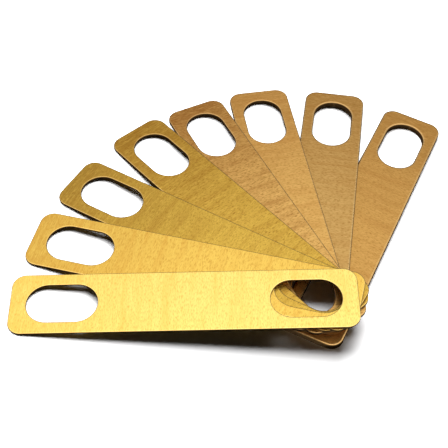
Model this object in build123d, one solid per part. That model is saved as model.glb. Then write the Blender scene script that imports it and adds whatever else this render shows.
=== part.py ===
from build123d import *
import math
import os

# Eight loose brass gauge leaves, fanned out by hand and lying on a table (millimetres).
# All leaves share one outline: a strip with round corners and a long slot near each end.
LEAF_LENGTH = 100.0
LEAF_WIDTH = 20.0
CORNER_RADIUS = 4.0
SLOT_LENGTH = 20.6
SLOT_WIDTH = 12.6
SLOT_FROM_END = 15.0

# The top edges are rolled over by the blanking punch, the lower ones stay sharp.
EDGE_ROLL_SHARE = 0.3
EDGE_ROLL_LIMIT = 0.35

# Daylight left between a leaf and the edge it lies on.
REST_GAP = 0.05

# One line for each leaf, from the table upwards: name, thickness, turn of the fan in degrees
# from the bottom leaf, and where the centre of its near slot lies (x, y).
# The bottom leaf points along +Y, with the middle of its underside at the origin.
LEAVES = [
    ("bottom_leaf", 2.0, 0.0, (0.0, -35.0)),
    ("second_leaf", 1.8, 16.5, (-4.0, -34.7)),
    ("third_leaf", 1.0, 34.4, (-5.0, -35.2)),
    ("fourth_leaf", 0.9, 51.0, (-3.5, -35.9)),
    ("fifth_leaf", 0.8, 66.1, (-4.2, -36.3)),
    ("sixth_leaf", 0.7, 84.4, (-4.0, -38.2)),
    ("seventh_leaf", 0.6, 100.3, (-3.9, -40.2)),
    ("top_leaf", 0.5, 115.5, (-3.9, -43.2)),
]

REACH = LEAF_LENGTH - SLOT_FROM_END
HALF_WIDTH = LEAF_WIDTH / 2


def leaf_solid(thickness):
    """A flat leaf: near slot centred on the origin, far end along +X, underside at z = 0."""
    middle = LEAF_LENGTH / 2 - SLOT_FROM_END
    outline = Pos(middle, 0) * RectangleRounded(LEAF_LENGTH, LEAF_WIDTH, CORNER_RADIUS)
    near_slot = SlotOverall(SLOT_LENGTH, SLOT_WIDTH)
    far_slot = Pos(LEAF_LENGTH - 2 * SLOT_FROM_END, 0) * SlotOverall(SLOT_LENGTH, SLOT_WIDTH)
    leaf = extrude(outline - near_slot - far_slot, amount=thickness)
    roll = min(EDGE_ROLL_LIMIT, EDGE_ROLL_SHARE * thickness)
    top_face = leaf.faces().sort_by(Axis.Z)[-1]
    return fillet(top_face.edges(), radius=roll)


def leaf_plane(turn, centre, height, slope_x, slope_y):
    """Underside plane of a leaf: origin in the near slot, x axis along the leaf."""
    angle = math.radians(90 + turn)
    along = Vector(math.cos(angle), math.sin(angle), 0)
    rise = slope_x * along.X + slope_y * along.Y
    return Plane(
        origin=(centre[0], centre[1], height),
        x_dir=(along.X, along.Y, rise),
        z_dir=(-slope_x, -slope_y, 1),
    )


def lowest_corner(plane):
    """Lowest point of the round far left corner of a leaf's underside."""
    corner = plane.from_local_coords(
        (REACH - CORNER_RADIUS, HALF_WIDTH - CORNER_RADIUS, 0)
    )
    down = plane.x_dir * -plane.x_dir.Z + plane.y_dir * -plane.y_dir.Z
    if down.length < 1e-9:
        down = plane.y_dir
    return corner + down.normalized() * CORNER_RADIUS


def flat_on(below, level, turn, centre):
    """Plane of a leaf lying flat on the one below, raised if it would cut the table."""
    normal = below.z_dir
    slope_x = -normal.X / normal.Z
    slope_y = -normal.Y / normal.Z
    start = below.from_local_coords((0, 0, level))
    height = start.Z
    height += slope_x * (centre[0] - start.X)
    height += slope_y * (centre[1] - start.Y)
    lowest = lowest_corner(leaf_plane(turn, centre, height, slope_x, slope_y)).Z
    height -= min(0, lowest)
    return leaf_plane(turn, centre, height, slope_x, slope_y)


def resting_plane(below, below_thickness, turn, centre):
    """Plane of a leaf that leans on the left edge of the leaf below.

    It holds two points of that leaf's top left edge, and its own far left corner
    comes down to the table. If the right edge below would then cut into it, the leaf
    lies flat instead.
    """
    level = below_thickness + REST_GAP
    edge_start = below.from_local_coords((0, HALF_WIDTH, level))
    edge_end = below.from_local_coords((REACH, HALF_WIDTH, level))
    plane = leaf_plane(turn, centre, level, 0, 0)
    for _ in range(30):
        touch = lowest_corner(plane)
        touch = Vector(touch.X, touch.Y, 0)
        normal = (edge_end - edge_start).cross(touch - edge_start)
        slope_x = -normal.X / normal.Z
        slope_y = -normal.Y / normal.Z
        height = edge_start.Z
        height += slope_x * (centre[0] - edge_start.X)
        height += slope_y * (centre[1] - edge_start.Y)
        plane = leaf_plane(turn, centre, height, slope_x, slope_y)
    right_edge = below.from_local_coords((0, -HALF_WIDTH, level))
    if plane.to_local_coords(right_edge).Z > 0:
        plane = flat_on(below, level, turn, centre)
    return plane


os.makedirs("parts", exist_ok=True)
plane = None
below_thickness = 0.0
for name, thickness, turn, centre in LEAVES:
    if plane is None:
        plane = leaf_plane(turn, centre, 0, 0, 0)
    else:
        plane = resting_plane(plane, below_thickness, turn, centre)
    leaf = plane.location * leaf_solid(thickness)
    export_step(leaf, f"parts/{name}.step")
    below_thickness = thickness
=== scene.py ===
import math

import bmesh
import bpy
from mathutils import Matrix, Vector
from mathutils.geometry import delaunay_2d_cdt


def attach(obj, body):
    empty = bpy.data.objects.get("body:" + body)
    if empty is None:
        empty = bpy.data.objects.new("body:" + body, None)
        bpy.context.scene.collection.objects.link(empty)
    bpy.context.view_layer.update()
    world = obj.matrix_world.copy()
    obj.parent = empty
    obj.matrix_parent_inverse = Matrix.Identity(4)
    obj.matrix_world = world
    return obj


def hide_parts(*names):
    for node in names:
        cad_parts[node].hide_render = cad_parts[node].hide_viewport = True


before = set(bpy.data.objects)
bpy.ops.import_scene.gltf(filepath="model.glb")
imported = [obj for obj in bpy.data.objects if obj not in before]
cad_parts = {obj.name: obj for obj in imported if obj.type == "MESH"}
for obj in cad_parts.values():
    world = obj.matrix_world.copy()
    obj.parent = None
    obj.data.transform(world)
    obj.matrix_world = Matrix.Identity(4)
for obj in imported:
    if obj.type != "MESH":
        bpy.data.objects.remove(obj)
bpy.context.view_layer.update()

MM = 0.001
CROSSING = Vector((-0.003, -0.038, 0))  # where the leaves cross

# ---------------------------------------------------------------- leaf shape (millimetres)
LEAF_LENGTH = 100.0
LEAF_WIDTH = 20.0
CORNER_RADIUS = 4.0
SLOT_LENGTH = 20.6
SLOT_WIDTH = 12.6
SLOT_OFFSET = 35.0  # slot centre from the middle of the leaf
BURR = 0.03
ROLL_WIDTH = 0.16  # the rolled upper edge: a fixed part, and a share of the leaf's thickness
ROLL_WIDTH_SHARE = 0.28
ROLL_DEPTH = 0.12
ROLL_DEPTH_SHARE = 0.10
ROLL_STEPS = 6
GRID_STEP = 2.0
GRID_MARGIN = 1.4  # how far the grid of face points keeps from every edge

# name, thickness, colour near the crossed ends, colour at the free end (linear); besides the
# brass's own tone these colours hold painted reflection: the brighter crossed ends and the much
# brighter upper leaves stand for reflected light
LEAVES = [
    ("bottom_leaf", 2.0, (0.61, 0.34, 0.092), (0.40, 0.205, 0.050)),
    ("second_leaf", 1.8, (0.61, 0.37, 0.118), (0.40, 0.20, 0.046)),
    ("third_leaf", 1.0, (0.73, 0.43, 0.124), (0.49, 0.245, 0.061)),
    ("fourth_leaf", 0.9, (0.76, 0.45, 0.132), (0.32, 0.13, 0.024)),
    ("fifth_leaf", 0.8, (0.70, 0.44, 0.072), (0.36, 0.175, 0.023)),
    ("sixth_leaf", 0.7, (0.73, 0.47, 0.076), (0.40, 0.22, 0.034)),
    ("seventh_leaf", 0.6, (0.90, 0.59, 0.112), (0.70, 0.41, 0.074)),
    ("top_leaf", 0.5, (1.00, 0.76, 0.205), (1.00, 0.61, 0.120)),
]


def arc(cx, cy, radius, start, stop, steps):
    points = []
    for i in range(steps + 1):
        angle = math.radians(start + (stop - start) * i / steps)
        points.append((cx + radius * math.cos(angle), cy + radius * math.sin(angle)))
    return points


def spread(a, b, steps):
    """Points strictly between a and b, so that long edges are cut up evenly."""
    return [
        (a[0] + (b[0] - a[0]) * i / steps, a[1] + (b[1] - a[1]) * i / steps)
        for i in range(1, steps)
    ]


def join_arcs(arcs, steps):
    """One closed loop of points from arcs joined by straight stretches."""
    loop = []
    for i, points in enumerate(arcs):
        loop += points
        loop += spread(points[-1], arcs[(i + 1) % len(arcs)][0], steps[i])
    return loop


def outer_loop(inset):
    """The leaf's outline moved inwards, anticlockwise."""
    x = LEAF_LENGTH / 2 - CORNER_RADIUS
    y = LEAF_WIDTH / 2 - CORNER_RADIUS
    r = CORNER_RADIUS - inset
    arcs = [
        arc(x, y, r, 0, 90, 14),
        arc(-x, y, r, 90, 180, 14),
        arc(-x, -y, r, 180, 270, 14),
        arc(x, -y, r, 270, 360, 14),
    ]
    return join_arcs(arcs, [46, 6, 46, 6])


def slot_loop(side, outset):
    """A slot's outline moved outwards, anticlockwise."""
    r = SLOT_WIDTH / 2
    x = SLOT_LENGTH / 2 - r
    centre = side * SLOT_OFFSET
    arcs = [
        arc(centre + x, 0, r + outset, -90, 90, 32),
        arc(centre - x, 0, r + outset, 90, 270, 32),
    ]
    return join_arcs(arcs, [5, 5])


def edge_profile(thickness):
    """Cross-section of a blanked edge: (setback, height), from the burr up to the rolled side."""
    roll_width = ROLL_WIDTH + ROLL_WIDTH_SHARE * thickness
    roll_depth = ROLL_DEPTH + ROLL_DEPTH_SHARE * thickness
    burr = BURR
    steps = [(burr, 0.0), (burr * 0.3, burr * 0.3), (0.0, burr)]
    steps.append((0.0, (burr + thickness - roll_depth) / 2))
    for i in range(ROLL_STEPS + 1):
        angle = math.radians(90 * i / ROLL_STEPS)
        steps.append(
            (
                roll_width * (1 - math.cos(angle)),
                thickness - roll_depth * (1 - math.sin(angle)),
            )
        )
    return steps


def grid_points(step):
    """Points inside the leaf, away from every edge, for an even face."""
    points = []
    nx = int(LEAF_LENGTH / step)
    ny = int(LEAF_WIDTH / step)
    for i in range(nx + 1):
        for j in range(ny + 1):
            x = -LEAF_LENGTH / 2 + LEAF_LENGTH * i / nx
            y = -LEAF_WIDTH / 2 + LEAF_WIDTH * j / ny
            ax = max(0, abs(x) - (LEAF_LENGTH / 2 - CORNER_RADIUS))
            ay = max(0, abs(y) - (LEAF_WIDTH / 2 - CORNER_RADIUS))
            if math.hypot(ax, ay) > CORNER_RADIUS - GRID_MARGIN:
                continue
            sx = max(0, abs(abs(x) - SLOT_OFFSET) - (SLOT_LENGTH - SLOT_WIDTH) / 2)
            if math.hypot(sx, y) < SLOT_WIDTH / 2 + GRID_MARGIN:
                continue
            points.append((x, y))
    return points


def fill_face(bm, loops, rings, setback, height, flip):
    """Flat face with both slots left open, made of even triangles."""
    points = []
    edges = []
    ring_verts = []
    for loop, ring in zip(loops, rings):
        first = len(points)
        points += [Vector(p) for p in loop]
        ring_verts += ring
        count = len(loop)
        edges += [(first + i, first + (i + 1) % count) for i in range(count)]
    points += [Vector(p) for p in grid_points(GRID_STEP)]
    verts, _, faces, origin, _, _ = delaunay_2d_cdt(points, edges, [], 0, 1e-6)
    made = []
    for i, v in enumerate(verts):
        source = origin[i][0] if origin[i] else -1
        if 0 <= source < len(ring_verts):
            made.append(ring_verts[source])
        else:
            made.append(bm.verts.new((v.x * MM, v.y * MM, height * MM)))
    for face in faces:
        cx = sum(verts[i].x for i in face) / len(face)
        cy = sum(verts[i].y for i in face) / len(face)
        sx = max(0, abs(abs(cx) - SLOT_OFFSET) - (SLOT_LENGTH - SLOT_WIDTH) / 2)
        if math.hypot(sx, cy) < SLOT_WIDTH / 2 + setback - 0.01:
            continue
        ordered = [made[i] for i in face]
        if flip:
            ordered.reverse()
        new_face = bm.faces.new(ordered)
        new_face.smooth = False


def leaf_mesh(name, thickness):
    bm = bmesh.new()
    profile = edge_profile(thickness)
    columns = []
    for make in (outer_loop, lambda d: slot_loop(-1, d), lambda d: slot_loop(1, d)):
        rings = []
        for setback, height in profile:
            loop = make(setback)
            rings.append([bm.verts.new((x * MM, y * MM, height * MM)) for x, y in loop])
        outside = make is outer_loop
        for low, high in zip(rings, rings[1:]):
            count = len(low)
            for i in range(count):
                j = (i + 1) % count
                quad = [low[i], low[j], high[j], high[i]]
                if not outside:
                    quad.reverse()
                face = bm.faces.new(quad)
                face.smooth = True
        columns.append((make, rings))
    top = profile[-1]
    bottom = profile[0]
    top_loops = [make(top[0]) for make, _ in columns]
    bottom_loops = [make(bottom[0]) for make, _ in columns]
    fill_face(bm, top_loops, [rings[-1] for _, rings in columns], top[0], top[1], False)
    fill_face(bm, bottom_loops, [rings[0] for _, rings in columns], bottom[0], 0.0, True)
    bmesh.ops.recalc_face_normals(bm, faces=bm.faces)
    mesh = bpy.data.meshes.new(name + "_shape")
    bm.to_mesh(mesh)
    bm.free()
    return mesh


def leaf_pose(node):
    """Where a leaf lies: a matrix from its own axes (x along, z up through it) to the row frame."""
    mesh = node.data
    points = [v.co.copy() for v in mesh.vertices]
    face = max(mesh.polygons, key=lambda p: p.area)
    normal = face.normal.copy()
    if normal.z < 0:
        normal = -normal
    walls = [p for p in mesh.polygons if abs(p.normal.dot(normal)) < 0.01]
    across = max(walls, key=lambda p: p.area).normal.copy()
    across = (across - normal * across.dot(normal)).normalized()
    along = across.cross(normal)
    middle = sum(points, Vector((0, 0, 0))) / len(points)
    if along.dot(middle - CROSSING) < 0:
        along = -along
    across = normal.cross(along)
    low = [min(p.dot(a) for p in points) for a in (along, across, normal)]
    high = [max(p.dot(a) for p in points) for a in (along, across, normal)]
    centre = along * (low[0] + high[0]) / 2 + across * (low[1] + high[1]) / 2
    centre += normal * low[2]
    pose = Matrix((along, across, normal)).transposed().to_4x4()
    pose.translation = centre
    return pose


# ---------------------------------------------------------------- brushed brass
SPECK_COLOUR = (0.16, 0.09, 0.03)
# painted highlight laid on the rolled rim all round
RIM_HIGHLIGHT_COLOUR = (0.98, 0.74, 0.38)
# painted shade: the side walls are coloured dark for the shade they stand in
SHADED_WALL_LIGHT = (0.20, 0.12, 0.05)
SHADED_WALL_DARK = (0.09, 0.05, 0.02)
FIRST_SEED = 3.0
SEED_STEP = 7.3


def math_node(tree, operation, a, b=None, clamp=False):
    made = tree.nodes.new("ShaderNodeMath")
    made.operation = operation
    made.use_clamp = clamp
    for i, value in enumerate((a, b)):
        if value is None:
            continue
        if isinstance(value, (int, float)):
            made.inputs[i].default_value = value
        else:
            tree.links.new(value, made.inputs[i])
    return made.outputs[0]


def stretched_noise(tree, coords, scale, shift, detail):
    """Noise drawn out across the leaf; scale is in features per metre, along and across."""
    mapping = tree.nodes.new("ShaderNodeMapping")
    mapping.inputs["Scale"].default_value = (scale[0], scale[1], scale[1])
    mapping.inputs["Location"].default_value = (shift, shift * 0.7, shift * 1.3)
    tree.links.new(coords, mapping.inputs["Vector"])
    noise = tree.nodes.new("ShaderNodeTexNoise")
    noise.inputs["Scale"].default_value = 1.0
    noise.inputs["Detail"].default_value = detail
    noise.inputs["Roughness"].default_value = 0.6
    tree.links.new(mapping.outputs[0], noise.inputs["Vector"])
    return noise.outputs["Fac"]


def scaled(tree, value, factor):
    return math_node(tree, "MULTIPLY", value, factor)


def ramp(tree, value, low, high):
    """0 at low and 1 at high, held beyond them; low may be the greater of the two."""
    made = tree.nodes.new("ShaderNodeMapRange")
    made.inputs["From Min"].default_value = low
    made.inputs["From Max"].default_value = high
    made.clamp = True
    tree.links.new(value, made.inputs["Value"])
    return made.outputs["Result"]


def mix_colour(tree, factor, a, b):
    made = tree.nodes.new("ShaderNodeMix")
    made.data_type = "RGBA"
    for socket, value in ((made.inputs[0], factor), (made.inputs[6], a), (made.inputs[7], b)):
        if isinstance(value, (int, float)):
            socket.default_value = value
        elif isinstance(value, tuple):
            socket.default_value = (*value, 1.0)
        else:
            tree.links.new(value, socket)
    return made.outputs[2]


def brass(name, near, far, seed):
    """Brushed brass that drifts from one tone at the crossed end to another at the free end; the
    drift is the brass's tone together with painted reflection.
    """
    material = bpy.data.materials.new(name)
    material.use_nodes = True
    tree = material.node_tree
    tree.nodes.clear()
    output = tree.nodes.new("ShaderNodeOutputMaterial")
    shader = tree.nodes.new("ShaderNodeBsdfPrincipled")
    tree.links.new(shader.outputs[0], output.inputs["Surface"])
    coord = tree.nodes.new("ShaderNodeTexCoord")
    place = coord.outputs["Object"]
    split = tree.nodes.new("ShaderNodeSeparateXYZ")
    tree.links.new(place, split.inputs[0])
    facing = tree.nodes.new("ShaderNodeSeparateXYZ")
    tree.links.new(coord.outputs["Normal"], facing.inputs[0])
    up = math_node(tree, "ABSOLUTE", facing.outputs[2])

    # fine grain, broader strokes, cloudy patches and the drift of tone along the leaf, which
    # carries painted reflection as well as the brass's tone
    grain = stretched_noise(tree, place, (3400, 1000), seed, 4)
    strokes = stretched_noise(tree, place, (2600, 260), seed + 11, 3)
    clouds = stretched_noise(tree, place, (70, 110), seed + 23, 3)
    tone_and_reflection_drift = ramp(tree, split.outputs[0], -0.004, 0.058)
    tone_and_reflection_drift = math_node(tree, "ADD", tone_and_reflection_drift, scaled(tree, clouds, 0.5))
    tone_and_reflection_drift = math_node(tree, "SUBTRACT", tone_and_reflection_drift, 0.25, clamp=True)
    colour = mix_colour(tree, tone_and_reflection_drift, near, far)
    lighter = tuple(min(1.0, c * 1.18 + 0.02) for c in near)
    darker = tuple(c * k for c, k in zip(far, (0.80, 0.66, 0.52)))
    colour = mix_colour(tree, scaled(tree, ramp(tree, strokes, 0.45, 0.7), 0.45), colour, lighter)
    colour = mix_colour(tree, scaled(tree, ramp(tree, grain, 0.52, 0.30), 0.8), colour, darker)
    bands = stretched_noise(tree, place, (520, 40), seed + 71, 3)
    amber = tuple(c * k for c, k in zip(far, (1.0, 0.86, 0.72)))
    colour = mix_colour(tree, scaled(tree, ramp(tree, bands, 0.48, 0.72), 0.4), colour, amber)

    # small dark specks
    specks = tree.nodes.new("ShaderNodeTexVoronoi")
    specks.inputs["Scale"].default_value = 420
    specks.inputs["Randomness"].default_value = 1.0
    tree.links.new(place, specks.inputs["Vector"])
    near_speck = ramp(tree, specks.outputs["Distance"], 0.10, 0.04)
    rare = ramp(tree, stretched_noise(tree, place, (210, 210), seed + 41, 1), 0.60, 0.66)
    speck = math_node(tree, "MULTIPLY", near_speck, rare)
    colour = mix_colour(tree, scaled(tree, speck, 0.45), colour, SPECK_COLOUR)

    # painted highlight: the rolled rim is painted a lighter colour; painted shade: the sheared wall
    # is painted dark, and it is coarse
    above_wall = ramp(tree, up, 0.84, 0.93)
    rim_highlight = math_node(tree, "MULTIPLY", above_wall, ramp(tree, up, 0.9995, 0.985))
    colour = mix_colour(tree, scaled(tree, rim_highlight, 0.25), colour, RIM_HIGHLIGHT_COLOUR)
    # painted shade on the side walls, varied by noise
    shaded_wall = ramp(tree, up, 0.92, 0.78)
    shear = stretched_noise(tree, place, (1500, 1500), seed + 57, 2)
    wall_shade_colour = mix_colour(tree, shear, SHADED_WALL_LIGHT, SHADED_WALL_DARK)
    colour = mix_colour(tree, shaded_wall, colour, wall_shade_colour)
    tree.links.new(colour, shader.inputs["Base Color"])

    shader.inputs["Metallic"].default_value = 1.0
    rough = math_node(tree, "ADD", scaled(tree, grain, 0.16), 0.26)
    rough = math_node(tree, "SUBTRACT", rough, scaled(tree, rim_highlight, 0.08))
    rough = math_node(tree, "ADD", rough, scaled(tree, shaded_wall, 0.15))
    tree.links.new(rough, shader.inputs["Roughness"])

    # the scratches run across the leaf, so highlights stretch along it
    shader.inputs["Anisotropic"].default_value = 0.7
    tangent = tree.nodes.new("ShaderNodeVectorTransform")
    tangent.vector_type = "VECTOR"
    tangent.convert_from = "OBJECT"
    tangent.convert_to = "WORLD"
    tangent.inputs[0].default_value = (1.0, 0.0, 0.0)
    tree.links.new(tangent.outputs[0], shader.inputs["Tangent"])

    height = math_node(tree, "ADD", scaled(tree, grain, 0.6), scaled(tree, strokes, 0.8))
    bump = tree.nodes.new("ShaderNodeBump")
    bump.inputs["Strength"].default_value = 0.35
    bump.inputs["Distance"].default_value = 0.00003
    tree.links.new(height, bump.inputs["Height"])
    tree.links.new(bump.outputs[0], shader.inputs["Normal"])
    return material


for number, (name, thickness, near, far) in enumerate(LEAVES):
    leaf = bpy.data.objects.new(name + "_looks", leaf_mesh(name, thickness))
    bpy.context.collection.objects.link(leaf)
    leaf.matrix_world = leaf_pose(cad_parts[name])
    leaf.data.materials.append(brass(name + "_brass", near, far, FIRST_SEED + SEED_STEP * number))
    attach(leaf, name)
    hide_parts(name)

# ---------------------------------------------------------------- backdrop
FRONT = math.radians(18.98)  # the viewer stands a little to the right of -Y
FAN_MIDDLE = (-0.0386, -0.0228)
FLOOR_HALF = 0.6
FLOOR_DROP = 0.00002  # keeps the floor clear of the undersides that touch it
PAPER = (0.88, 0.88, 0.885)
PAPER_IN_REFLECTIONS = (0.10, 0.09, 0.08)


def from_viewer(right, away, up):
    """A point given as the viewer sees it, in metres from the middle of the fan."""
    c, s = math.cos(FRONT), math.sin(FRONT)
    x = c * right - s * away + FAN_MIDDLE[0]
    y = s * right + c * away + FAN_MIDDLE[1]
    return Vector((x, y, up))


floor_mesh = bpy.data.meshes.new("backdrop_shape")
h = FLOOR_HALF
floor_mesh.from_pydata([(-h, -h, 0), (h, -h, 0), (h, h, 0), (-h, h, 0)], [], [(0, 1, 2, 3)])
floor = bpy.data.objects.new("backdrop", floor_mesh)
floor.location.z = -FLOOR_DROP
bpy.context.collection.objects.link(floor)
paper = bpy.data.materials.new("white_paper")
paper.use_nodes = True
paper_shader = paper.node_tree.nodes["Principled BSDF"]
paper_shader.inputs["Roughness"].default_value = 0.9
paper_shader.inputs["Specular IOR Level"].default_value = 0.1
path = paper.node_tree.nodes.new("ShaderNodeLightPath")
glossy = path.outputs["Is Glossy Ray"]
seen = mix_colour(paper.node_tree, glossy, PAPER, PAPER_IN_REFLECTIONS)
paper.node_tree.links.new(seen, paper_shader.inputs["Base Color"])
floor_mesh.materials.append(paper)

# ---------------------------------------------------------------- light
# Studio brightness by direction: the dot product with BRIGHTEST, and the level it gives there.
BRIGHTEST = from_viewer(0.02, -0.5, 0.86) - from_viewer(0, 0, 0)
LEVELS = [
    (-0.12, 0.22),
    (0.04, 0.30),
    (0.12, 0.48),
    (0.24, 0.75),
    (0.354, 1.0),
    (0.477, 1.2),
    (0.84, 1.45),
]
LEVEL_RANGE = 2.5  # the curve runs from 0 to 1, so levels are divided by this
REFLECTED_STRENGTH = 2.88
BACKGROUND_STRENGTH = 0.95

world = bpy.data.worlds.new("studio")
bpy.context.scene.world = world
world.use_nodes = True
sky = world.node_tree
direction = sky.nodes.new("ShaderNodeTexCoord")
toward = sky.nodes.new("ShaderNodeVectorMath")
toward.operation = "DOT_PRODUCT"
toward.inputs[1].default_value = BRIGHTEST
sky.links.new(direction.outputs["Generated"], toward.inputs[0])
level = sky.nodes.new("ShaderNodeFloatCurve")
curve = level.mapping.curves[0]
curve.points[0].location = (0.0, 0.02)
curve.points[1].location = (1.0, 0.8)
for dot, strength in LEVELS:
    curve.points.new((dot + 1) / 2, strength / LEVEL_RANGE)
level.mapping.update()
half = scaled(sky, math_node(sky, "ADD", toward.outputs["Value"], 1.0), 0.5)
sky.links.new(half, level.inputs["Value"])
reflected = scaled(sky, level.outputs[0], REFLECTED_STRENGTH)
direct = sky.nodes.new("ShaderNodeLightPath").outputs["Is Camera Ray"]
shown = sky.nodes.new("ShaderNodeMix")
sky.links.new(direct, shown.inputs[0])
sky.links.new(reflected, shown.inputs[2])
shown.inputs[3].default_value = BACKGROUND_STRENGTH
sky.links.new(shown.outputs[0], sky.nodes["Background"].inputs["Strength"])
sky.nodes["Background"].inputs["Color"].default_value = (1.0, 1.0, 1.0, 1.0)
world.cycles_visibility.diffuse = False
bpy.context.scene.view_settings.view_transform = "Standard"


def softbox(name, position, target, width, height, power):
    lamp = bpy.data.lights.new(name, "AREA")
    lamp.shape = "RECTANGLE"
    lamp.size = width
    lamp.size_y = height
    lamp.energy = power
    made = bpy.data.objects.new(name, lamp)
    bpy.context.collection.objects.link(made)
    made.location = position
    made.rotation_euler = (target - position).to_track_quat("-Z", "Y").to_euler()
    return made


centre = from_viewer(0, 0, 0)
above = from_viewer(-0.12, 0.42, 0.80)
overhead = softbox("overhead_softbox", above, centre, width=1.0, height=0.8, power=31)
overhead.visible_glossy = False

# ---------------------------------------------------------------- camera
ELEVATION = math.radians(51.1)
ROLL = math.radians(7.64)
DISTANCE = 0.3187
LENS = 82.2
camera_data = bpy.data.cameras.new("camera")
camera_data.sensor_width = 36.0
camera_data.lens = LENS
camera_data.clip_start = 0.01
camera = bpy.data.objects.new("camera", camera_data)
bpy.context.collection.objects.link(camera)
eye = from_viewer(0, -DISTANCE * math.cos(ELEVATION), DISTANCE * math.sin(ELEVATION))
look = (centre - eye).to_track_quat("-Z", "Y").to_matrix().to_4x4()
camera.matrix_world = Matrix.Translation(eye) @ look @ Matrix.Rotation(ROLL, 4, "Z")
bpy.context.scene.camera = camera
